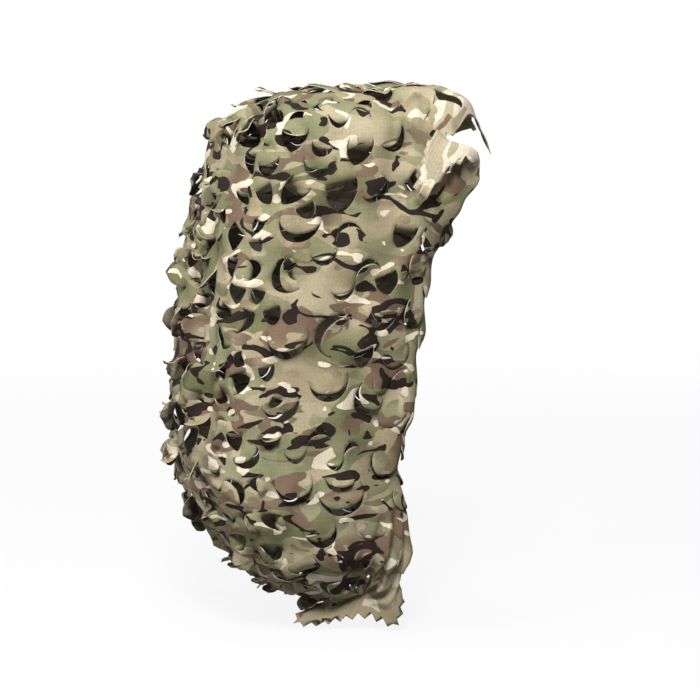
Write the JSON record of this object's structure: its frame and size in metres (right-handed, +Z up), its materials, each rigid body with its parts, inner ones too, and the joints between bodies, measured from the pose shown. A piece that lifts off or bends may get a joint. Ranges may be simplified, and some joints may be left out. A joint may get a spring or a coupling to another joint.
{
  "type": "backpack camouflage net cover",
  "caption": "Leaf-cut camouflage cloth net that fits over the front, sides and top of an upright backpack.",
  "frame": {"origin": "just under the cover's top, where the pack's top holds it up", "axes": "+Z up, +Y towards the wearer's back and the open side, +X to the wearer's right as seen from the front"},
  "size_m": [0.3445, 0.3486, 0.5899],
  "materials": {
    "camouflage_cloth": "matt printed ripstop"
  },
  "bodies": {
    "root": {"net_sheet": "camouflage_cloth"}
  },
  "joints": []
}
